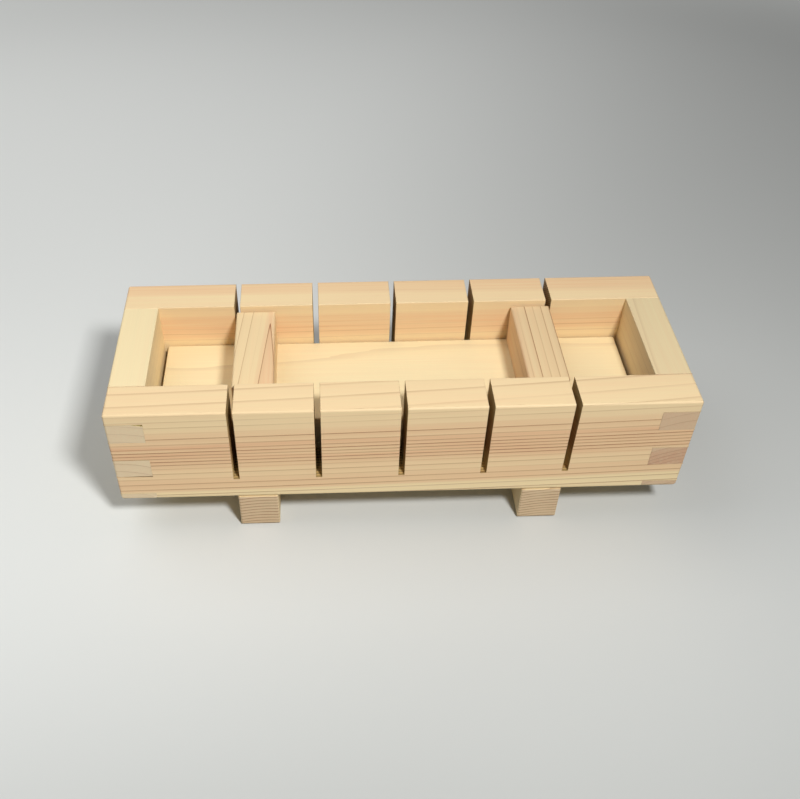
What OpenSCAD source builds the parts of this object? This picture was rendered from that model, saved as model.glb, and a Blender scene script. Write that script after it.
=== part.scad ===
// Pressed sushi box of plain softwood boards, in three loose assemblies.
// A finger-jointed frame with knife slits stands on the two feet of the base.
// The base board closes the frame from below, and the pushing lid drops in from above.
// X runs along the box, Y across it and Z up.
// The origin is on the ground, midway between the feet.

/* [Frame] */
// Outside length of the frame
outer_l = 250; // [200:1:360]
// Outside width of the frame
outer_w = 90; // [75:1:140]
// Height of the frame's walls
frame_h = 52; // [42:0.5:90]
// Thickness of the two long walls
side_t = 18; // [12:0.5:22]
// Thickness of the two end walls
end_t = 16; // [10:0.5:24]
// Rounding of the frame's top and upright edges
frame_r = 1; // [0.5:0.25:2]
// Rounding of the frame's lower edges
frame_low_r = 2; // [0.5:0.25:3]

/* [Finger joints] */
// Height of the top finger, which belongs to the long walls
lead_h = 5.5; // [4:0.5:12]
// Height of every other finger
finger_h = 10.6; // [6:0.2:16]
// Glue line around each finger
glue_gap = 0.05; // [0:0.01:0.2]

/* [Knife slits] */
// Number of sushi pieces that the slits mark off
pieces = 6; // [2:1:9]
// Width of the saw cut
slit_w = 2.6; // [1.5:0.1:4]
// How far the slits reach below the top of the base board
cut_past = 3; // [0:0.5:6]

/* [Boards] */
// Thickness of the lid board
lid_t = 15; // [10:0.5:24]
// Thickness of the base board
base_t = 15; // [10:0.5:24]
// Gap between a board and each long wall
side_gap = 0.75; // [0.4:0.05:2]
// Gap between a board and each end wall
end_gap = 1.75; // [0.4:0.05:4]
// Rounding of a board's upright corners
corner_r = 1.5; // [0.5:0.25:4]
// Rounding of the edges of the lid and base boards
board_r = 0.75; // [0.25:0.25:2]

/* [Battens and feet] */
// Width of each lid batten
batten_w = 18; // [12:0.5:26]
// Height of each lid batten
batten_h = 19.5; // [14:0.5:30]
// Width of each foot
foot_w = 18; // [12:0.5:26]
// Height of each foot
foot_h = 19.5; // [14:0.5:30]
// From the inside of an end wall to the middle of the batten and the foot
grip_in = 45; // [24:0.5:60]
// Rounding of the battens' top edges
batten_r = 1; // [0.5:0.25:3]
// Rounding of the feet's lower edges
foot_r = 2; // [0.5:0.25:4]
// Rounding of the edges that meet a board
seat_r = 0.5; // [0.25:0.25:1]

/* [Dowels] */
// Diameter of the hidden dowels
dowel_d = 6; // [4:0.5:8]
// Distance between the two dowels of a batten or foot
dowel_span = 30; // [15:1:40]
// Depth of the dowel holes in a batten or foot
dowel_hole = 10; // [6:0.5:12]
// Wood left between a dowel hole and the far face of its board
dowel_cover = 5; // [2:0.5:8]
// Chamfer on the dowels' ends
dowel_c = 0.8; // [0.2:0.1:1.5]
// Play around each dowel
dowel_fit = 0.05; // [0.02:0.01:0.2]
// Room left for glue at each end of a dowel
glue_room = 0.5; // [0.2:0.1:1]

/* [Hidden] */
$fn = 64;

// Cutting shapes run this far past the faces that they cut
past = 1;

// Inside of the frame, and the boards that fit in it
inner_l = outer_l - 2 * end_t;
inner_w = outer_w - 2 * side_t;
board_l = inner_l - 2 * end_gap;
board_w = inner_w - 2 * side_gap;

// Heights above the ground
frame_z = foot_h;
base_top = foot_h + base_t;
lid_top = base_top + lid_t;
slit_z = base_top - cut_past;

// Places along the box
slit_pitch = inner_l / pieces;
grip_x = inner_l / 2 - grip_in;

// Finger levels, counted down from the top: even ones belong to the long walls, odd to the end walls.
// A last level thinner than this joins the one above it.
least_finger = 1.5;
levels = 1 + ceil((frame_h - lead_h - least_finger) / finger_h);
function level_top(i) = i == 0 ? frame_h : frame_h - lead_h - (i - 1) * finger_h;
function level_low(i) = i == levels - 1 ? 0 : level_top(i + 1);

// Side view of a board: a rectangle on the ground line with rounded corners
module side_outline(w, h, low_r, top_r) {
    translate([-w / 2, low_r]) square([w, h - low_r - top_r]);
    translate([-w / 2 + low_r, 0]) square([w - 2 * low_r, h / 2]);
    translate([-w / 2 + top_r, h / 2]) square([w - 2 * top_r, h / 2]);
    for (side = [-1, 1]) {
        translate([side * (w / 2 - low_r), low_r]) circle(low_r);
        translate([side * (w / 2 - top_r), h - top_r]) circle(top_r);
    }
}

// Plan of a board: a centred rectangle with rounded corners
module plan_outline(l, w, r) {
    translate([0, -w / 2]) side_outline(l, w, r, r);
}

// A board with all its edges rounded, standing on z = 0
module eased_board(l, w, h, plan_r, low_r, top_r) {
    intersection() {
        linear_extrude(h) plan_outline(l, w, plan_r);
        rotate([90, 0, 0]) linear_extrude(w, center = true) side_outline(l, h, low_r, top_r);
        rotate([90, 0, 90]) linear_extrude(l, center = true) side_outline(w, h, low_r, top_r);
    }
}

// A box between two corners
module span_box(low, high) {
    translate(low) cube(high - low);
}

// The glued-up frame was planed and sanded as one block, which rounds all four walls together
module frame_envelope() {
    translate([0, 0, frame_z]) eased_board(outer_l, outer_w, frame_h, frame_r, frame_low_r, frame_r);
}

// Sockets for the end walls' fingers, at both ends of a long wall
module finger_sockets() {
    for (end = [0, 1], i = [1 : 2 : levels - 1]) {
        mirror([end, 0, 0]) span_box(
            [inner_l / 2, 0, i == levels - 1 ? -past : level_low(i)],
            [outer_l / 2 + past, outer_w / 2 + past, level_top(i)]
        );
    }
}

// Saw cuts that guide the knife, open at the top of a long wall
module knife_slits() {
    for (k = [1 : pieces - 1]) {
        x = k * slit_pitch - inner_l / 2;
        span_box(
            [x - slit_w / 2, 0, slit_z],
            [x + slit_w / 2, outer_w / 2 + past, frame_z + frame_h + past]
        );
    }
}

// The back long wall, which the front one mirrors
module long_wall() {
    difference() {
        intersection() {
            frame_envelope();
            span_box(
                [-outer_l / 2, inner_w / 2, frame_z],
                [outer_l / 2, outer_w / 2, frame_z + frame_h]
            );
        }
        translate([0, 0, frame_z]) finger_sockets();
        knife_slits();
    }
}

// Fingers of one end wall: each is one bar right across the frame
module end_fingers() {
    for (i = [1 : 2 : levels - 1]) {
        span_box(
            [inner_l / 2 + glue_gap, -outer_w / 2, level_low(i) + (i == levels - 1 ? 0 : glue_gap)],
            [outer_l / 2, outer_w / 2, level_top(i) - glue_gap]
        );
    }
}

// The right end wall, which the left one mirrors
module end_wall() {
    intersection() {
        frame_envelope();
        translate([0, 0, frame_z]) {
            span_box(
                [inner_l / 2, -inner_w / 2 + glue_gap, 0],
                [outer_l / 2, inner_w / 2 - glue_gap, frame_h]
            );
            end_fingers();
        }
    }
}

// Moves its children to both dowels of one batten or foot
module at_dowels(side) {
    for (end = [-1, 1]) {
        translate([side * grip_x, end * dowel_span / 2, 0]) children();
    }
}

// Round blind holes on both sides of the face between a board and its battens
module dowel_holes(side, into_board) {
    at_dowels(side) translate([0, 0, -into_board])
        cylinder(h = into_board + dowel_hole, d = dowel_d + 2 * dowel_fit);
}

// A dowel with chamfered ends, its lower end at z = 0
module dowel(l) {
    r = dowel_d / 2;
    rotate_extrude() polygon([
        [0, 0], [r - dowel_c, 0], [r, dowel_c],
        [r, l - dowel_c], [r - dowel_c, l], [0, l]
    ]);
}

// The four dowels of the lid or of the base
module dowel_set(into_board) {
    for (side = [-1, 1]) {
        at_dowels(side) translate([0, 0, glue_room - into_board])
            dowel(into_board + dowel_hole - 2 * glue_room);
    }
}

// A board that slides in the frame with its underside at z = 0
module loose_board(t) {
    eased_board(board_l, board_w, t, corner_r, board_r, board_r);
}

module front_wall() {
    color([0.87, 0.75, 0.57]) mirror([0, 1, 0]) long_wall();
}

module back_wall() {
    color([0.90, 0.79, 0.61]) long_wall();
}

module left_wall() {
    color([0.93, 0.85, 0.66]) mirror([1, 0, 0]) end_wall();
}

module right_wall() {
    color([0.91, 0.82, 0.64]) end_wall();
}

module lid_board() {
    color([0.97, 0.89, 0.70]) difference() {
        translate([0, 0, base_top]) loose_board(lid_t);
        for (side = [-1, 1]) {
            translate([0, 0, lid_top]) dowel_holes(side, lid_t - dowel_cover);
        }
    }
}

// A grip across the lid, as long as the lid board is wide
module lid_batten(side) {
    difference() {
        translate([side * grip_x, 0, lid_top])
            eased_board(batten_w, board_w, batten_h, batten_r, seat_r, batten_r);
        translate([0, 0, lid_top]) dowel_holes(side, lid_t - dowel_cover);
    }
}

module lid_left_batten() {
    color([0.90, 0.80, 0.61]) lid_batten(-1);
}

module lid_right_batten() {
    color([0.88, 0.77, 0.59]) lid_batten(1);
}

module lid_dowels() {
    color([0.80, 0.66, 0.46]) translate([0, 0, lid_top]) dowel_set(lid_t - dowel_cover);
}

module base_board() {
    color([0.95, 0.87, 0.68]) difference() {
        translate([0, 0, foot_h]) loose_board(base_t);
        for (side = [-1, 1]) {
            translate([0, 0, foot_h]) mirror([0, 0, 1]) dowel_holes(side, base_t - dowel_cover);
        }
    }
}

// A foot across the base, as long as the frame is wide, so that the frame stands on it
module base_foot(side) {
    difference() {
        translate([side * grip_x, 0, 0])
            eased_board(foot_w, outer_w, foot_h, frame_r, foot_r, seat_r);
        translate([0, 0, foot_h]) mirror([0, 0, 1]) dowel_holes(side, base_t - dowel_cover);
    }
}

module base_left_foot() {
    color([0.84, 0.72, 0.55]) base_foot(-1);
}

module base_right_foot() {
    color([0.83, 0.71, 0.55]) base_foot(1);
}

module base_dowels() {
    color([0.80, 0.66, 0.46]) translate([0, 0, foot_h]) mirror([0, 0, 1]) dowel_set(base_t - dowel_cover);
}

front_wall();
back_wall();
left_wall();
right_wall();
lid_board();
lid_left_batten();
lid_right_batten();
lid_dowels();
base_board();
base_left_foot();
base_right_foot();
base_dowels();
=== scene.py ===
"""Boards, wood and studio of a wooden box press for pressed sushi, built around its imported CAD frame.

X runs along the box, Y across it and Z up, in metres. The wood's own sizes are given in millimetres.
"""

import itertools
import math
from typing import NamedTuple

import bmesh
import bpy
from mathutils import Matrix, Vector


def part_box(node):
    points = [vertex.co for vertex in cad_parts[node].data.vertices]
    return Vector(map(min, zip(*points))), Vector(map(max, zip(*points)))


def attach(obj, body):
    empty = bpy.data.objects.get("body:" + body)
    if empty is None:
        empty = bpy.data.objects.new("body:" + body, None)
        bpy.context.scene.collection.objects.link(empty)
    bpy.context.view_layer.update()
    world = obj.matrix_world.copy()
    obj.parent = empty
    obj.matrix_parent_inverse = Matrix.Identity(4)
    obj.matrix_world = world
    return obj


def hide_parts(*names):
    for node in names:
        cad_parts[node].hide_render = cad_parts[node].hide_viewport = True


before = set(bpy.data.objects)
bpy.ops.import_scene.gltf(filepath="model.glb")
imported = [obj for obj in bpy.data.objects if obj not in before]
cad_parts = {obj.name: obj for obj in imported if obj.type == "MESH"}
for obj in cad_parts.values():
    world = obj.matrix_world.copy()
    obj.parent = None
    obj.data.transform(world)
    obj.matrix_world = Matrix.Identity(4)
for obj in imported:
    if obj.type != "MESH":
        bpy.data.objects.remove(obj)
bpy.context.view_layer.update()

bl_info = {
    "name": "Sushi Box Press",
    "version": (1, 0, 0),
    "blender": (4, 5, 0),
    "location": "View3D > Sidebar > Box Press",
    "description": "Builds the boards, the wood and the studio of a pressed sushi box around its CAD frame",
    "category": "Object",
}

MM = 0.001
NEAR = 0.02 * MM  # two places closer than this are the same
X, Y, Z = range(3)

# The frame's planes, from the CAD nodes
LONG_LOW, LONG_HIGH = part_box("back_wall")
OUTER_X, OUTER_Y = LONG_HIGH.x, LONG_HIGH.y
INNER_X, INNER_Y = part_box("right_wall")[0].x, LONG_LOW.y
FRAME_LOW, FRAME_TOP = LONG_LOW.z, LONG_HIGH.z
BASE_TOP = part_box("base_board")[1].z


def srgb(*levels):
    """The linear colour of three screen levels from 0 to 255."""
    return tuple(((v / 255 + 0.055) / 1.055) ** 2.4 for v in levels)


def length_property(name, description, default):
    """A length in metres that a user may change."""
    return bpy.props.FloatProperty(
        name=name, description=description, default=default, min=0.0, unit="LENGTH", precision=5
    )


def colour_property(name, description, *levels):
    """A colour that a user may change, its default given in screen levels."""
    return bpy.props.FloatVectorProperty(
        name=name, description=description, default=srgb(*levels), min=0.0, max=1.0, subtype="COLOR"
    )


class BoxPressSizes(bpy.types.PropertyGroup):
    """Sizes of the frame's saw cuts, fingers and rounded edges."""

    sushi_pieces: bpy.props.IntProperty(
        name="Sushi pieces", description="Pieces that the knife slits mark off", default=6, min=2
    )
    slit_width: length_property("Slit width", "Width of each saw cut", 2.6 * MM)
    slit_past: length_property("Slit past the base", "Depth of the slits below the base board's top", 3 * MM)
    top_finger: length_property("Top finger", "Height of the long walls' top finger", 5.5 * MM)
    finger: length_property("Finger", "Height of every other finger", 10.6 * MM)
    glue_line: length_property("Glue line", "Gap around each finger", 0.05 * MM)
    outer_round: length_property("Outer edges", "Rounding of the top and upright edges", 1 * MM)
    low_round: length_property("Lower edges", "Rounding of the frame's lower edges", 2 * MM)
    inner_round: length_property("Inner edges", "Rounding of the edges round the inside", 0.4 * MM)
    slit_round: length_property("Slit edges", "Rounding of the saw cuts' edges", 0.25 * MM)
    joint_round: length_property("Joint edges", "Easing of the edges that meet in a finger joint", 0.08 * MM)


class BoxPressWood(bpy.types.PropertyGroup):
    """Colours of the planed softwood."""

    long_pale: colour_property("Long walls", "Early wood of the long walls", 243, 220, 173)
    end_pale: colour_property("End walls", "Early wood of the end walls", 247, 227, 180)
    board_pale: colour_property("Boards", "Early wood of the lid and base boards", 248, 230, 184)
    grip_pale: colour_property("Grips and feet", "Early wood of the grips and the feet", 239, 216, 168)
    dowel_pale: colour_property("Dowels", "Early wood of the dowels", 224, 194, 148)
    blush: colour_property("Blush", "Pinkish zones of the heartwood", 230, 184, 142)
    late: colour_property("Late wood", "Dark lines that end each growth ring", 160, 106, 70)
    sawn_end: colour_property("End grain", "Shade over sawn ends", 242, 244, 254)
    # Rough sawn wood in the saw cuts and joints, darkened further as painted shade for their deep recesses
    kerf_tone_and_shade: colour_property("Saw cuts", "Shade over the rough sides of the saw cuts", 200, 196, 164)


class BoxPressStudio(bpy.types.PropertyGroup):
    """The floor and the lamps."""

    # The floor's colour paints the light's fall across it: painted light at the far back, painted shade
    # towards the right and the front
    floor_painted_light: colour_property("Floor", "Paper floor where it is palest", 248, 250, 247)
    floor_painted_shade: colour_property("Far floor", "Paper floor where it falls into shade", 132, 134, 131)
    backdrop: colour_property("Backdrop", "Pale background behind the floor", 214, 216, 213)
    key_power: bpy.props.FloatProperty(
        name="Key lamp", description="Power of the lamp that casts the shadows", default=6.0, unit="POWER"
    )
    soft_power: bpy.props.FloatProperty(
        name="Soft lamp", description="Power of the large soft lamp on the left", default=2.7, unit="POWER"
    )
    room_level: bpy.props.FloatProperty(
        name="Room light", description="Level of the even light from the room", default=0.12
    )


class Pattern(NamedTuple):
    """Noise drawn out along the grain, and what it does to the wood."""

    length: float  # of its waves, in millimetres
    width: float
    detail: float = 2.0
    roughness: float = 0.5
    bend: float = 0.0  # how far it bends the rings where wander is 1, in millimetres
    pink: float = 0.0
    shade: float = 0.0  # how much brighter it makes the wood
    relief: float = 0.0
    rough: float = 0.0


class Paint:
    """A shader socket that works in expressions: each operator on it adds the Math node that does it."""

    def __init__(self, tree, socket=None):
        self.tree = tree
        self.socket = socket

    def node(self, kind, settings=None, sockets=None, output=0):
        """Adds one node: its settings first, then its sockets' values or links."""
        made = self.tree.nodes.new(kind)
        for name, value in (settings or {}).items():
            setattr(made, name, value)
        for name, value in (sockets or {}).items():
            if isinstance(value, Paint):
                self.tree.links.new(value.socket, made.inputs[name])
            else:
                made.inputs[name].default_value = value
        return Paint(self.tree, made.outputs[output])

    def math(self, operation, *others):
        """A Math node on this value and any others."""
        return self.node("ShaderNodeMath", {"operation": operation}, dict(enumerate((self, *others))))

    def __add__(self, other):
        return self.math("ADD", other)

    def __sub__(self, other):
        return self.math("SUBTRACT", other)

    def __rsub__(self, other):
        return self.node("ShaderNodeMath", {"operation": "SUBTRACT"}, {0: other, 1: self})

    def __mul__(self, other):
        return self.math("MULTIPLY", other)

    def __truediv__(self, other):
        return self.math("DIVIDE", other)

    def __pow__(self, other):
        return self.math("POWER", other)

    __radd__ = __add__
    __rmul__ = __mul__

    def rise(self, low, high):
        """0 below low and 1 above high, with a soft step between them."""
        settings = {"interpolation_type": "SMOOTHSTEP"}
        return self.node("ShaderNodeMapRange", settings, {0: self, 1: low, 2: high})

    def part(self, axis):
        """One axis of this vector."""
        return self.node("ShaderNodeSeparateXYZ", {}, {0: self}, output=axis)

    def length(self):
        """The length of this vector."""
        return self.node("ShaderNodeVectorMath", {"operation": "LENGTH"}, {0: self}, output="Value")

    def reach(self, way):
        """How far this vector reaches along a direction."""
        settings = {"operation": "DOT_PRODUCT"}
        return self.node("ShaderNodeVectorMath", settings, {0: self, 1: way}, output="Value")

    def scaled(self, x, y, z):
        """The vector with each axis multiplied."""
        return self.node("ShaderNodeVectorMath", {"operation": "MULTIPLY"}, {0: self, 1: (x, y, z)})

    def noise(self, detail=2.0, roughness=0.5):
        """Smooth noise from -0.5 to 0.5 at this place."""
        sockets = {"Vector": self, "Scale": 1.0, "Detail": detail, "Roughness": roughness}
        return self.node("ShaderNodeTexNoise", {}, sockets) - 0.5

    def pattern(self, pattern):
        """A pattern's noise at this place in a log, whose grain runs along X."""
        squeezed = self.scaled(1 / pattern.length, 1 / pattern.width, 1 / pattern.width)
        return squeezed.noise(pattern.detail, pattern.roughness)

    def blend(self, first, second, how="MIX"):
        """The colour between first and second, by this factor."""
        settings = {"data_type": "RGBA", "blend_type": how}
        colours = {6: first, 7: second}  # a Mix node's colour sockets, and 2 is its colour output
        return self.node("ShaderNodeMix", settings, {0: self, **colours}, output=2)

    def dimmed(self, level):
        """This colour times a level."""
        return self.node("ShaderNodeVectorMath", {"operation": "SCALE"}, {0: self, "Scale": level})

    def show(self, kind):
        """Links this shader to a new output node."""
        output = self.tree.nodes.new(kind)
        self.tree.links.new(self.socket, output.inputs["Surface"])


def start_paint(owner):
    """Empties the nodes of a material or a world, for painting."""
    owner.use_nodes = True
    owner.node_tree.nodes.clear()
    return Paint(owner.node_tree)


class Log(NamedTuple):
    """How a board was cut from its log, in millimetres and degrees.

    The way out to the bark is turned from straight up towards +Y, or towards +X where the grain runs
    along Y. A dowel's is turned from +X towards +Y.
    """

    along: int  # the grain's axis
    bark: float  # how far the way out to the bark is turned
    climb: float = 0.0  # how the rings rise along the board
    turn: float = 0.0  # how far the grain is turned in plan
    taper: float = 0.0  # how much the log thickens along the grain
    bow: float = 0.0  # how far the rings bend out to the bark, BOW_AT from the board's middle
    heart: float = 100.0  # from the log's heart to the board's middle
    aside: float = 0.0  # shift of the heart sideways
    spacing: float = 4.0  # width of a ring where they aren't crowded
    crowd: float = 0.0  # how many more rings the crowded zone has
    crowd_from: float = 1000.0  # where it starts and ends, from the board's middle towards the bark
    crowd_to: float = 1010.0
    first: float = 0.0  # shift of all the rings, in rings
    wander: float = 1.0  # how far the rings bend
    late: float = 0.5  # width of the dark wood that ends each ring
    lines: float = 0.6  # how dark it is
    luck: float = 0.0  # which years are dark
    change: float = 2.9  # how much one year differs from the next
    blush: float = 0.3  # how pink the board is
    zones: tuple = ()  # its pinker and paler zones: from and to, towards the bark, and how much
    ends: float = 0.25  # how much pinker its sawn ends are
    tone: float = 1.0  # how bright it is
    seed: float = 0.0  # where the board's other variation starts


DOWEL_LOG = Log(Z, bark=0, heart=45, spacing=1.6, wander=0.4, late=0.3, luck=11, seed=11)
LOGS = {
    "front_wall": Log(
        X, bark=24, climb=1.25, bow=0.5, heart=260,
        spacing=3.087, crowd=2.655, crowd_from=-8.9, crowd_to=6, first=-6.58, wander=0.5,
        late=0.65, lines=0.95, luck=5.537, change=1.6,
        blush=0.45, zones=((3, 12, 0.3), (-14, -8, 0.12), (-21, -14, 0.35), (-40, -22, -0.3)),
        tone=0.965, seed=1,
    ),
    "back_wall": Log(
        X, bark=-32, climb=0.2, heart=200,
        spacing=4.2, crowd=1.5, crowd_from=11, crowd_to=23, first=0.3, wander=1.2,
        late=0.6, lines=0.4, luck=2, blush=0.4, tone=0.985, seed=2,
    ),
    "left_wall": Log(
        Y, bark=6, climb=0.2, heart=62, aside=4, spacing=4.5, first=0.6, wander=1.4,
        lines=0.3, luck=3, blush=0.05, tone=0.935, seed=3,
    ),
    "right_wall": Log(
        Y, bark=-14, climb=-0.4, heart=70, aside=-3,
        spacing=4.6, crowd=3, crowd_from=-15, crowd_to=0, first=0.2, wander=1.2,
        lines=0.35, luck=4, blush=0.35, ends=0.45, tone=0.845, seed=4,
    ),
    "lid_board": Log(
        X, bark=8, climb=0.5, heart=120, aside=10, spacing=5.5, first=0.1, wander=3,
        late=0.8, lines=0.25, luck=5, blush=0.2, tone=0.915, seed=5,
    ),
    "lid_left_batten": Log(
        Y, bark=180, turn=-0.8, taper=0.0845, heart=9.4, aside=6.6,
        spacing=4.3, crowd_from=-13.5, crowd_to=-5.5, first=0.77, wander=0.15,
        lines=0.92, luck=0.178, blush=0.42, tone=0.975, seed=6,
    ),
    "lid_right_batten": Log(
        Y, bark=84, climb=0.2, turn=0.3, heart=90,
        spacing=3.7, crowd_from=-13, crowd_to=-4, first=0.27, wander=0.2,
        late=0.6, lines=1.2, luck=4.872, zones=((-30, 30, 0.2),), tone=0.91, seed=7,
    ),
    "lid_dowels": DOWEL_LOG,
    "base_board": Log(
        X, bark=-6, climb=0.4, heart=140, aside=-12, spacing=5.2, first=0.7, wander=3,
        late=0.8, lines=0.16, luck=8, blush=0.15, seed=8,
    ),
    "base_left_foot": Log(
        Y, bark=-5, climb=0.3, heart=80, aside=2, spacing=1.95, first=0.2, wander=0.7,
        late=0.55, lines=1.0, luck=1.57, change=0.03, blush=0.15, tone=0.885, seed=9,
    ),
    "base_right_foot": Log(
        Y, bark=-4, climb=-0.3, heart=75, aside=-2, spacing=1.75, first=0.6, wander=0.9,
        lines=0.9, luck=1.57, change=0.03, blush=0.1, tone=0.885, seed=10,
    ),
    "base_dowels": DOWEL_LOG,
}

BOW_AT = 100.0  # millimetres along the grain
START = 700.0  # millimetres of log from one board's variation to the next one's
ZONE_EDGE = 1.5  # half as wide as the soft border of a pink zone, in millimetres
STEP_SLOPE = 1.5  # a smooth step's steepest slope, against its mean

BENDS = (Pattern(240, 32, detail=1, bend=2.0), Pattern(55, 5, bend=0.35))
CLOUD = Pattern(110, 16, pink=0.35, shade=0.03)
STREAK = Pattern(80, 1.1, pink=0.4, shade=0.06)
FIBRE = Pattern(26, 0.45, detail=3, roughness=0.6, shade=0.06, relief=0.5, rough=0.12)
PORES = Pattern(0.5, 0.3, roughness=0.7, shade=0.14, relief=0.8)  # of the sawn ends
FADE = Pattern(70, 9, detail=1, shade=0.8)  # of the dark lines only

YEARS_DIFFER = 1.1  # how dark the darkest year's line is
YEAR_SCATTER = 9.7  # spreads the years' luck, so that neighbours differ
SOFT_WIDTH = 5  # how many times wider than its dark line a ring's soft shade is
SOFT_SHARE = 0.1  # and how much of the line's darkness is in it
LINE_RELIEF = 0.4
LINE_GLOSS = 0.05

# How strongly these show where the rings are even, and how much more where they are crowded
EVEN_LINES, CROWDED_LINES = 0.8, 0.3
EVEN_PINK = 0.5
CROWDED_STREAKS = 0.6

PLANED_ROUGH = 0.58
END_ON = (0.55, 0.9)  # how squarely a face cuts the grain where end grain starts to show, and shows in full
END_LINES = 0.8  # how much darker the lines are on sawn ends
END_ROUGH = 0.14
GRAIN_DEPTH = 0.08 * MM  # height of the relief

# Along a board's edges, which hands have worn smooth
WORN_EDGE = 1.4 * MM
WORN_SHADE = 0.03
WORN_GLOSS = 0.08

# The marks that the saw left in the kerfs: the way across them, and how they show
SAW_FEED = (0.0, 0.54, 0.84)
SAW_PITCH = 0.9 * MM
SAW_WAVER = 3
SAW_SHADE = 0.3
SAW_RELIEF = 0.8


def unit(axis):
    """The unit vector along an axis."""
    way = Vector((0, 0, 0))
    way[axis] = 1
    return way


def log_axes(log):
    """The grain, the way out to the bark and the way across both, as three unit vectors."""
    upward = unit(X if log.along == Z else Z)
    sideways = unit(X if log.along == Y else Y)
    lean, climb = math.radians(log.bark), math.radians(log.climb)
    bark = upward * math.cos(lean) + sideways * math.sin(lean)
    grain = unit(log.along) * math.cos(climb) + bark * math.sin(climb)
    bark = bark * math.cos(climb) - unit(log.along) * math.sin(climb)
    turned = Matrix.Rotation(math.radians(log.turn), 3, "Z")
    return [turned @ axis for axis in (grain, bark, grain.cross(bark))]


def place_in_log(spot, node, log, axes):
    """Where a spot on a board was in its log, in millimetres: along the grain, out from the heart, across."""
    low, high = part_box(node)
    middle = (low + high) / 2 / MM
    shift = Vector((START * log.seed, log.heart, log.aside)) - Vector([middle.dot(a) for a in axes])
    turn = Matrix(axes).to_euler("XYZ")
    sockets = {"Vector": spot, "Location": shift, "Rotation": turn, "Scale": (1 / MM,) * 3}
    return spot.node("ShaderNodeMapping", {"vector_type": "POINT"}, sockets)


def growth_rings(place, log):
    """The dark lines that end each ring, how crowded the rings are from 0 to 1, and how pink the wood is."""
    # How far out towards the bark from the board's middle, along rings that bend
    depth = place.scaled(0, 1, 1).length()
    for pattern in BENDS:
        depth = depth + place.pattern(pattern) * (pattern.bend * log.wander)
    along = place.part(X) - START * log.seed
    depth = depth - log.heart + along * log.taper - along * along * (log.bow / BOW_AT**2)

    # The rings are counted outwards, and the crowded zone adds its own along a smooth step
    into = place.node("ShaderNodeMapRange", {}, {0: depth, 1: log.crowd_from, 2: log.crowd_to})
    crowded = into * (1 - into) * 4
    count = depth / log.spacing + into * into * (3 - into * 2) * log.crowd + log.first
    ring = count.math("FLOOR")
    most_crowded = STEP_SLOPE * log.crowd / (log.crowd_to - log.crowd_from)
    from_bark = (ring + 1 - count) / (crowded * most_crowded + 1 / log.spacing)

    # Some years are darker than others, and each line fades in and out along the board
    year = ring * log.change + log.luck
    luck = (year.math("SINE") * YEAR_SCATTER).math("FRACT")
    strength = (luck * YEARS_DIFFER + place.pattern(FADE) * FADE.shade).math("MAXIMUM", 0.0)
    sharp = 1 - from_bark.rise(0, log.late)
    soft = 1 - from_bark.rise(0, SOFT_WIDTH * log.late)
    line = sharp * (1 - SOFT_SHARE) + soft * SOFT_SHARE
    line = line * strength * (crowded * CROWDED_LINES + EVEN_LINES)

    pink = (crowded**0.5 + EVEN_PINK) * log.blush
    for start, end, more in log.zones:
        entered = depth.rise(start - ZONE_EDGE, start + ZONE_EDGE)
        left = depth.rise(end - ZONE_EDGE, end + ZONE_EDGE)
        pink = pink + entered * (1 - left) * more
    return line, crowded, pink


def worn_edges(spot, node):
    """1 on the outer edges of a node's box, falling to 0 at WORN_EDGE from them."""
    low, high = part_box(node)
    depths = []
    for axis in (X, Y, Z):
        off_middle = spot.part(axis) - (low[axis] + high[axis]) / 2
        depths.append((high[axis] - low[axis]) / 2 - off_middle.math("ABSOLUTE"))
    # A spot is near an edge where it is near two of the box's faces
    first, second, third = (a.math("MAXIMUM", b) for a, b in itertools.combinations(depths, 2))
    return 1 - first.math("MINIMUM", second).math("MINIMUM", third).rise(0, WORN_EDGE)


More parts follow.
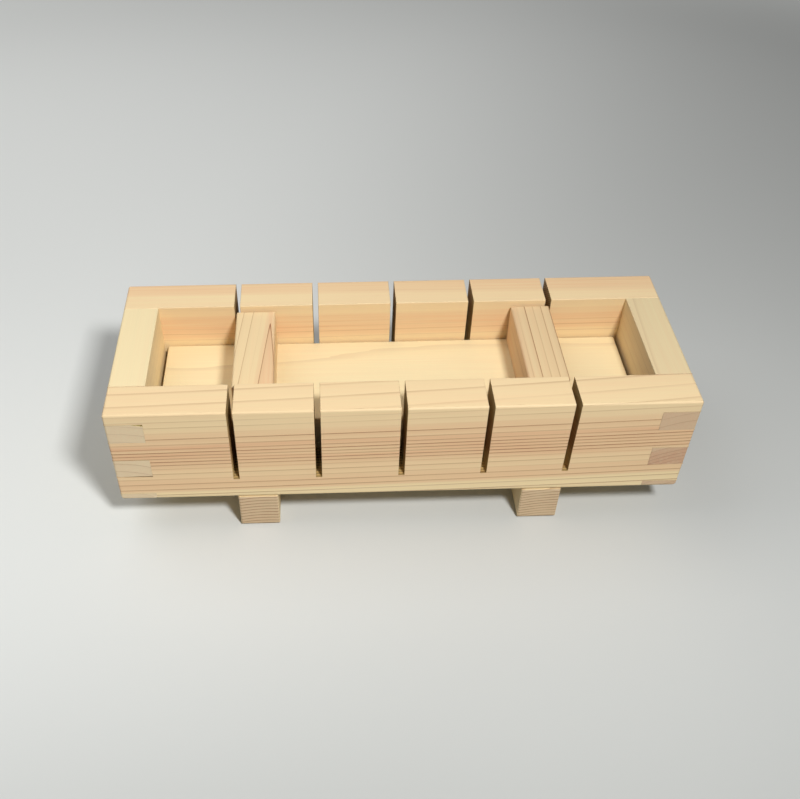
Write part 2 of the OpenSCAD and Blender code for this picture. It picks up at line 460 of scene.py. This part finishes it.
def softwood(node, pale, wood, sawn=False):
    """Solid planed softwood: rings round the log's heart, so that face, edge and end grain agree."""
    material = bpy.data.materials.new(node + "_wood")
    paint = start_paint(material)
    log = LOGS[node]
    axes = log_axes(log)
    spot = paint.node("ShaderNodeTexCoord", output="Object")
    place = place_in_log(spot, node, log, axes)
    facing = paint.node("ShaderNodeTexCoord", output="Normal")
    end_grain = facing.reach(axes[0]).math("ABSOLUTE").rise(*END_ON)
    side_grain = 1 - end_grain
    edge = worn_edges(spot, node)

    line, crowded, pink = growth_rings(place, log)
    cloud, streak, fibre, pores = (place.pattern(each) for each in (CLOUD, STREAK, FIBRE, PORES))
    pink = pink + cloud * CLOUD.pink + streak * (crowded * CROWDED_STREAKS + STREAK.pink)
    colour = (pink + end_grain * log.ends).blend((*pale, 1), (*wood.blush, 1))
    colour = (line * log.lines * (end_grain * END_LINES + 1)).blend(colour, (*wood.late, 1))
    colour = end_grain.blend(colour, (*wood.sawn_end, 1), "MULTIPLY")
    shade = 1 + fibre * FIBRE.shade * side_grain + streak * STREAK.shade + cloud * CLOUD.shade
    shade = shade + pores * PORES.shade * end_grain
    relief = line * LINE_RELIEF + fibre * FIBRE.relief * side_grain + pores * PORES.relief * end_grain
    # The saw cuts and the hidden joint faces: saw marks on rough wood, whose colour is darkened further as
    # painted shade for the deep recesses
    if sawn:
        sawn_shade_mask = paint.node("ShaderNodeAttribute", {"attribute_name": "sawn_shade_mask"}, output="Fac")
        waves = spot.reach(SAW_FEED) * (math.tau / SAW_PITCH) + pores * SAW_WAVER
        marks = waves.math("SINE") * sawn_shade_mask
        colour = sawn_shade_mask.blend(colour, (*wood.kerf_tone_and_shade, 1), "MULTIPLY")
        shade = shade + marks * SAW_SHADE
        relief = relief + marks * SAW_RELIEF
    shade = shade * log.tone * (1 - edge * WORN_SHADE)
    rough = PLANED_ROUGH + fibre * FIBRE.rough + end_grain * END_ROUGH - line * LINE_GLOSS - edge * WORN_GLOSS

    bump = paint.node("ShaderNodeBump", {}, {"Strength": 0.35, "Distance": GRAIN_DEPTH, "Height": relief})
    sockets = {
        "Base Color": colour.dimmed(shade),
        "Roughness": rough,
        "IOR": 1.45,
        "Specular IOR Level": 0.35,
        "Normal": bump,
    }
    paint.node("ShaderNodeBsdfPrincipled", {}, sockets).show("ShaderNodeOutputMaterial")
    return material


STRAIGHT = math.radians(1)  # less of a bend than this is none
ROUNDED = math.radians(10)  # an edge that turns more than this is rounded


def upright_face(start, end):
    """A mesh of one flat face as high as the frame, between two points of its plan."""
    bm = bmesh.new()
    corners = [(*start, FRAME_LOW), (*end, FRAME_LOW), (*end, FRAME_TOP), (*start, FRAME_TOP)]
    bm.faces.new([bm.verts.new(corner) for corner in corners])
    return bm


def cut_across(bm, axis, places):
    """Cuts the mesh along each place on an axis."""
    for place in places:
        geometry = bm.verts[:] + bm.edges[:] + bm.faces[:]
        bmesh.ops.bisect_plane(bm, geom=geometry, plane_co=unit(axis) * place, plane_no=unit(axis))


def take_away(bm, unwanted):
    """Removes the cells whose middles unwanted() picks, and joins the rest into one outline."""
    waste = [f for f in bm.faces if unwanted(f.calc_center_median())]
    bmesh.ops.delete(bm, geom=waste, context="FACES")
    bmesh.ops.dissolve_faces(bm, faces=bm.faces[:])
    on_a_line = [v for v in bm.verts if v.calc_edge_angle(0) < STRAIGHT]
    bmesh.ops.dissolve_verts(bm, verts=on_a_line)


def thicken(bm, offset):
    """Extrudes the flat outline into a closed board."""
    made = bmesh.ops.extrude_face_region(bm, geom=bm.faces[:])
    moved = [v for v in made["geom"] if isinstance(v, bmesh.types.BMVert)]
    bmesh.ops.translate(bm, verts=moved, vec=offset)
    bmesh.ops.recalc_face_normals(bm, faces=bm.faces[:])


def mark_sawn_shade(bm, is_sawn):
    """Stores 1 on the faces that is_sawn() picks by their middles and normals: rough wood with painted shade.
    """
    bm.normal_update()
    sawn_shade_mask = bm.faces.layers.float.new("sawn_shade_mask")
    for face in bm.faces:
        face[sawn_shade_mask] = float(is_sawn(face.calc_center_median(), face.normal))


def same(first, second):
    """True if two places are the same."""
    return abs(first - second) < NEAR


def lies_at(edge, axis, place):
    """True if both ends of an edge are at a place on an axis, on either side of the middle."""
    return all(same(abs(vert.co[axis]), place) for vert in edge.verts)


def mark_edges(bm, radius_of):
    """Stores each outside edge's rounding, in metres, as a share of the widest one, which it returns.

    An edge without any rounding stays sharp.
    """
    weight = bm.edges.layers.float.new("bevel_weight_edge")
    bm.normal_update()
    chosen = {e: radius_of(e) for e in bm.edges if e.calc_face_angle_signed(0) > ROUNDED}
    widest = max(chosen.values())
    for edge, radius in chosen.items():
        edge[weight] = radius / widest
        edge.smooth = radius > 0
    return widest


def mesh_object(name, bm, material):
    """An object of one material from a finished mesh."""
    mesh = bpy.data.meshes.new(name)
    bm.to_mesh(mesh)
    bm.free()
    mesh.materials.append(material)
    made = bpy.data.objects.new(name, mesh)
    bpy.context.scene.collection.objects.link(made)
    return made


def piece(name, bm, node, body, material, widest):
    """Makes the finished board that stands for a CAD node and rides on its body."""
    board = mesh_object(name, bm, material)
    for face in board.data.polygons:
        face.use_smooth = True
    eased = board.modifiers.new("Rounded edges", "BEVEL")
    eased.limit_method = "WEIGHT"
    eased.width = widest
    eased.segments = 4
    eased.use_clamp_overlap = False
    eased.harden_normals = True
    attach(board, body)
    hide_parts(node)


LEAST_FINGER = 1.5 * MM  # a last level thinner than this joins the one above it


def finger_levels(sizes):
    """Heights of the finger joints' steps, from the top of the frame to its underside."""
    levels = [FRAME_TOP, FRAME_TOP - sizes.top_finger]
    while levels[-1] - sizes.finger > FRAME_LOW + LEAST_FINGER:
        levels.append(levels[-1] - sizes.finger)
    return levels + [FRAME_LOW]


def end_wall_owns(z, levels):
    """True where a height belongs to the end walls' fingers."""
    return sum(z < level for level in levels[1:-1]) % 2 == 1


def long_wall(sizes, side):
    """One long wall, with its knife slits and the sockets of both finger joints."""
    inner, outer = side * INNER_Y, side * OUTER_Y
    levels = finger_levels(sizes)
    half = sizes.slit_width / 2
    pitch = 2 * INNER_X / sizes.sushi_pieces
    slits = [-INNER_X + k * pitch for k in range(1, sizes.sushi_pieces)]
    slit_floor = BASE_TOP - sizes.slit_past

    def in_slit(spot, slack):
        return spot.z > slit_floor - slack and any(abs(spot.x - x) < half + slack for x in slits)

    def sawn_away(spot):
        return in_slit(spot, 0) or (abs(spot.x) > INNER_X and end_wall_owns(spot.z, levels))

    bm = upright_face((-OUTER_X, inner), (OUTER_X, inner))
    cut_across(bm, X, [-INNER_X, INNER_X] + [x + way * half for x in slits for way in (-1, 1)])
    cut_across(bm, Z, levels[1:-1] + [slit_floor])
    take_away(bm, sawn_away)
    thicken(bm, (0, outer - inner, 0))
    # The slits' sides and floors: rough sawn wood with painted shade
    mark_sawn_shade(bm, lambda spot, normal: in_slit(spot, NEAR) and abs(normal.y) < 0.5)

    def rounding(edge):
        a, b = (v.co for v in edge.verts)
        runs_along = not same(a.x, b.x)
        is_outer = lies_at(edge, Y, OUTER_Y)
        at_top = lies_at(edge, Z, FRAME_TOP)
        at_bottom = lies_at(edge, Z, FRAME_LOW)
        if lies_at(edge, X, INNER_X) and not runs_along and same(min(a.z, b.z), FRAME_LOW):
            return 0.0  # a second rounding here would leave a spike where it meets the lower one
        if lies_at(edge, X, OUTER_X) and (at_top or is_outer):
            return sizes.outer_round
        if abs(a.x + b.x) / 2 > INNER_X - NEAR and not (at_top and is_outer):
            return sizes.joint_round
        if not runs_along or not (at_top or at_bottom):
            return sizes.slit_round
        if is_outer:
            return sizes.outer_round if at_top else sizes.low_round
        return sizes.inner_round

    return bm, mark_edges(bm, rounding)


WEDGE_LENGTH = 5 * MM  # of the gap above the left wall's first front finger, from the inside out
WEDGE_GAP = 1.0 * MM
LOW_GAP = 0.55 * MM  # under its second front finger, and half as much at the outside of the frame


def loosen_joints(bm, inner, steps):
    """Opens two narrow gaps at the left wall's front fingers, where the joint doesn't quite close."""
    cut_across(bm, X, [inner - WEDGE_LENGTH])
    first_top, second_low = steps[0], steps[3]
    for vert in bm.verts:
        if vert.co.y > MM - INNER_Y:
            continue  # not on a front finger
        if same(vert.co.z, first_top) and vert.co.x > inner - WEDGE_LENGTH / 2:
            vert.co.z -= WEDGE_GAP
        elif same(vert.co.z, second_low):
            vert.co.z += LOW_GAP / 2 if same(vert.co.x, -OUTER_X) else LOW_GAP


def end_wall(sizes, side):
    """One end wall, whose fingers run right across the frame."""
    inner, outer = side * INNER_X, side * OUTER_X
    levels = finger_levels(sizes)
    gap = sizes.glue_line
    body_y = INNER_Y - gap
    # Each finger stops a glue line short of its socket, above and below
    steps = [level - gap if number % 2 == 0 else level + gap for number, level in enumerate(levels[1:-1])]

    bm = upright_face((outer, -OUTER_Y), (outer, OUTER_Y))
    cut_across(bm, Y, [-body_y, body_y])
    cut_across(bm, Z, steps)
    take_away(bm, lambda spot: abs(spot.y) > body_y and not end_wall_owns(spot.z, levels))
    thicken(bm, (inner - outer, 0, 0))

    # The inner sides of the fingers stop a glue line short too
    tips = [v for v in bm.verts if abs(v.co.y) > INNER_Y and same(v.co.x, inner)]
    bmesh.ops.translate(bm, verts=tips, vec=(side * gap, 0, 0))
    if side < 0:
        loosen_joints(bm, inner, steps)

    # The fingers' faces inside the joints: rough wood with painted shade, which shows as dark lines in the
    # gaps that loosen_joints opens
    def in_joint(spot, normal):
        inside = abs(spot.y) > INNER_Y and FRAME_LOW + MM < spot.z < FRAME_TOP - MM
        return inside and (abs(normal.z) > 0.5 or normal.x * side < -0.5)

    mark_sawn_shade(bm, in_joint)

    def rounding(edge):
        a, b = (v.co for v in edge.verts)
        middle_y = abs(a.y + b.y) / 2
        is_outer = lies_at(edge, X, OUTER_X)
        at_side = lies_at(edge, Y, OUTER_Y)
        at_top = lies_at(edge, Z, FRAME_TOP)
        at_bottom = lies_at(edge, Z, FRAME_LOW)
        at_tip = same(a.x, b.x) and not is_outer and middle_y > INNER_Y
        if at_tip and same(min(a.z, b.z), FRAME_LOW):
            return 0.0  # as in the long walls' sockets
        if at_bottom and (is_outer or at_side):
            return sizes.low_round
        if is_outer and (at_top or at_side):
            return sizes.outer_round
        if (at_top or at_bottom) and same(a.x, b.x) and middle_y < INNER_Y:
            return sizes.inner_round
        return sizes.joint_round

    return bm, mark_edges(bm, rounding)


def finish_node(node, pale, wood):
    """Gives a CAD node that keeps its shape its wood."""
    material = softwood(node, pale, wood)
    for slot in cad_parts[node].material_slots:
        slot.material = material


class PRESS_OT_long_walls(bpy.types.Operator):
    """Make the two long walls with their knife slits"""

    bl_idname = "press.long_walls"
    bl_label = "Long Walls"

    def execute(self, context):
        sizes, wood = context.scene.press_sizes, context.scene.press_wood
        for node, side in (("front_wall", -1), ("back_wall", 1)):
            bm, widest = long_wall(sizes, side)
            material = softwood(node, wood.long_pale, wood, sawn=True)
            piece(node + "_board", bm, node, "frame", material, widest)
        return {"FINISHED"}


class PRESS_OT_end_walls(bpy.types.Operator):
    """Make the two end walls with their fingers"""

    bl_idname = "press.end_walls"
    bl_label = "End Walls"

    def execute(self, context):
        sizes, wood = context.scene.press_sizes, context.scene.press_wood
        for node, side in (("left_wall", -1), ("right_wall", 1)):
            bm, widest = end_wall(sizes, side)
            material = softwood(node, wood.end_pale, wood, sawn=True)
            piece(node + "_board", bm, node, "frame", material, widest)
        return {"FINISHED"}


class PRESS_OT_lid(bpy.types.Operator):
    """Finish the lid board and its two grips"""

    bl_idname = "press.lid"
    bl_label = "Lid"

    def execute(self, context):
        wood = context.scene.press_wood
        finish_node("lid_board", wood.board_pale, wood)
        for node in ("lid_left_batten", "lid_right_batten"):
            finish_node(node, wood.grip_pale, wood)
        return {"FINISHED"}


class PRESS_OT_base(bpy.types.Operator):
    """Finish the base board and its two feet"""

    bl_idname = "press.base"
    bl_label = "Base"

    def execute(self, context):
        wood = context.scene.press_wood
        finish_node("base_board", wood.board_pale, wood)
        for node in ("base_left_foot", "base_right_foot"):
            finish_node(node, wood.grip_pale, wood)
        return {"FINISHED"}


class PRESS_OT_dowels(bpy.types.Operator):
    """Finish the hidden dowels of the lid and the base"""

    bl_idname = "press.dowels"
    bl_label = "Dowels"

    def execute(self, context):
        wood = context.scene.press_wood
        for node in ("lid_dowels", "base_dowels"):
            finish_node(node, wood.dowel_pale, wood)
        return {"FINISHED"}


# The camera stands where the photograph was taken from
CAMERA_PLACE = (-0.032987, -0.334119, 0.344132)
CAMERA_TURN = (44.9669, 0.058, -1.9179)  # degrees
CAMERA_LENS = 43.36  # millimetres, as the sensor's width is
CAMERA_SENSOR = 36
CAMERA_SHIFT = (0.065, 0.050)  # the picture's middle off the lens axis, in picture widths
CAMERA_CLIP = 10 * MM

# Where each lamp hangs, what it faces and how wide it is
KEY_PLACE = Vector((0.175, -0.43, 0.64))
KEY_AIM = Vector((-0.35, -0.35, 0))
KEY_SIZE = 0.11
SOFT_PLACE = Vector((-0.45, 0.2, 0.7))
SOFT_AIM = Vector((-0.4, 0.5, 0))
SOFT_SIZE = 0.7

FLOOR_HALF = 4.0
PAPER_TOOTH = 900  # bumps to a metre
TO_FRONT = (0, -1, 0)
TO_RIGHT = (0.86, -0.51, 0)
# The floor's painted shades: which way each deepens, from where to where, and how deep it gets
PAINTED_FLOOR_SHADES = ((TO_RIGHT, -0.23, 0.1, 0.27), (TO_FRONT, 0.05, 0.35, 0.44), (TO_FRONT, -0.5, -0.1, 0.22))
FLOOR_ENDS = (0.58, 1.05)  # how far out the floor starts to melt into the backdrop, and has melted


def area_lamp(name, place, aim, size, power):
    """A square soft lamp that faces its aim."""
    lamp = bpy.data.lights.new(name, "AREA")
    lamp.size = size
    lamp.energy = power
    shown = bpy.data.objects.new(name, lamp)
    shown.location = place
    shown.rotation_mode = "QUATERNION"
    shown.rotation_quaternion = (place - aim).to_track_quat("Z", "Y")
    bpy.context.scene.collection.objects.link(shown)


def paper(studio):
    """Matt paper, whose colour carries painted shade where it falls away from the light."""
    material = bpy.data.materials.new("studio_paper")
    paint = start_paint(material)
    place = paint.node("ShaderNodeTexCoord", output="Object")
    # painted shade over the paper's colour, deepening along each band
    painted_shade = sum(place.reach(way).rise(start, end) * depth for way, start, end, depth in PAINTED_FLOOR_SHADES)
    colour = painted_shade.blend((*studio.floor_painted_light, 1), (*studio.floor_painted_shade, 1))
    tooth = place.scaled(PAPER_TOOTH, PAPER_TOOTH, PAPER_TOOTH).noise(detail=3)
    bump = paint.node("ShaderNodeBump", {}, {"Strength": 0.1, "Distance": 0.1 * MM, "Height": tooth})
    sockets = {"Base Color": colour, "Roughness": 0.8, "Normal": bump}
    surface = paint.node("ShaderNodeBsdfPrincipled", {}, sockets)

    # Far away the camera sees the floor melt into the backdrop
    seen = paint.node("ShaderNodeLightPath", output="Is Camera Ray")
    haze = paint.node("ShaderNodeEmission", {}, {"Color": (*studio.backdrop, 1), "Strength": 1.0})
    far = place.length().rise(*FLOOR_ENDS) * seen
    paint.node("ShaderNodeMixShader", {}, {0: far, 1: surface, 2: haze}).show("ShaderNodeOutputMaterial")
    return material


def paper_floor(studio):
    """The wide floor that the box stands on."""
    bm = bmesh.new()
    bmesh.ops.create_grid(bm, x_segments=2, y_segments=2, size=FLOOR_HALF)
    floor = mesh_object("studio_floor", bm, paper(studio))


def room_light(studio):
    """Even light from all round, in place of which the camera sees the pale backdrop."""
    world = bpy.data.worlds.new("studio_room")
    bpy.context.scene.world = world
    paint = start_paint(world)
    seen = paint.node("ShaderNodeLightPath", output="Is Camera Ray")
    colour = seen.blend((studio.room_level,) * 3 + (1,), (*studio.backdrop, 1))
    room = paint.node("ShaderNodeBackground", {}, {"Color": colour, "Strength": 1.0})
    room.show("ShaderNodeOutputWorld")


def photo_camera():
    """The camera, which sees the box as the photograph does."""
    lens = bpy.data.cameras.new("photo_camera")
    lens.lens = CAMERA_LENS
    lens.sensor_width = CAMERA_SENSOR
    lens.clip_start = CAMERA_CLIP
    lens.shift_x, lens.shift_y = CAMERA_SHIFT
    camera = bpy.data.objects.new("photo_camera", lens)
    camera.location = CAMERA_PLACE
    camera.rotation_euler = [math.radians(a) for a in CAMERA_TURN]
    bpy.context.scene.collection.objects.link(camera)
    bpy.context.scene.camera = camera


class PRESS_OT_studio(bpy.types.Operator):
    """Set up the floor, the lamps and the camera"""

    bl_idname = "press.studio"
    bl_label = "Studio"

    def execute(self, context):
        studio = context.scene.press_studio
        paper_floor(studio)
        area_lamp("key_lamp", KEY_PLACE, KEY_AIM, KEY_SIZE, studio.key_power)
        area_lamp("soft_lamp", SOFT_PLACE, SOFT_AIM, SOFT_SIZE, studio.soft_power)
        room_light(studio)
        photo_camera()
        context.scene.view_settings.view_transform = "Standard"
        return {"FINISHED"}


GROUPS = {"press_sizes": BoxPressSizes, "press_wood": BoxPressWood, "press_studio": BoxPressStudio}
MAKERS = [
    PRESS_OT_long_walls,
    PRESS_OT_end_walls,
    PRESS_OT_lid,
    PRESS_OT_base,
    PRESS_OT_dowels,
    PRESS_OT_studio,
]


class VIEW3D_PT_box_press(bpy.types.Panel):
    """Lists the box's sizes, colours and makers"""

    bl_label = "Sushi Box Press"
    bl_space_type = "VIEW_3D"
    bl_region_type = "UI"
    bl_category = "Box Press"

    def draw(self, context):
        for kept_as, group in GROUPS.items():
            box = self.layout.box()
            for name in group.__annotations__:
                box.prop(getattr(context.scene, kept_as), name)
        for maker in MAKERS:
            self.layout.operator(maker.bl_idname)


def register():
    """Adds the property groups, the operators and the panel to Blender."""
    for name, group in GROUPS.items():
        bpy.utils.register_class(group)
        setattr(bpy.types.Scene, name, bpy.props.PointerProperty(type=group))
    for maker in MAKERS:
        bpy.utils.register_class(maker)
    bpy.utils.register_class(VIEW3D_PT_box_press)


def unregister():
    """Takes them out again."""
    bpy.utils.unregister_class(VIEW3D_PT_box_press)
    for maker in reversed(MAKERS):
        bpy.utils.unregister_class(maker)
    for name, group in GROUPS.items():
        delattr(bpy.types.Scene, name)
        bpy.utils.unregister_class(group)


def main():
    register()
    bpy.ops.press.long_walls()
    bpy.ops.press.end_walls()
    bpy.ops.press.lid()
    bpy.ops.press.base()
    bpy.ops.press.dowels()
    bpy.ops.press.studio()


if __name__ == "__main__":
    main()
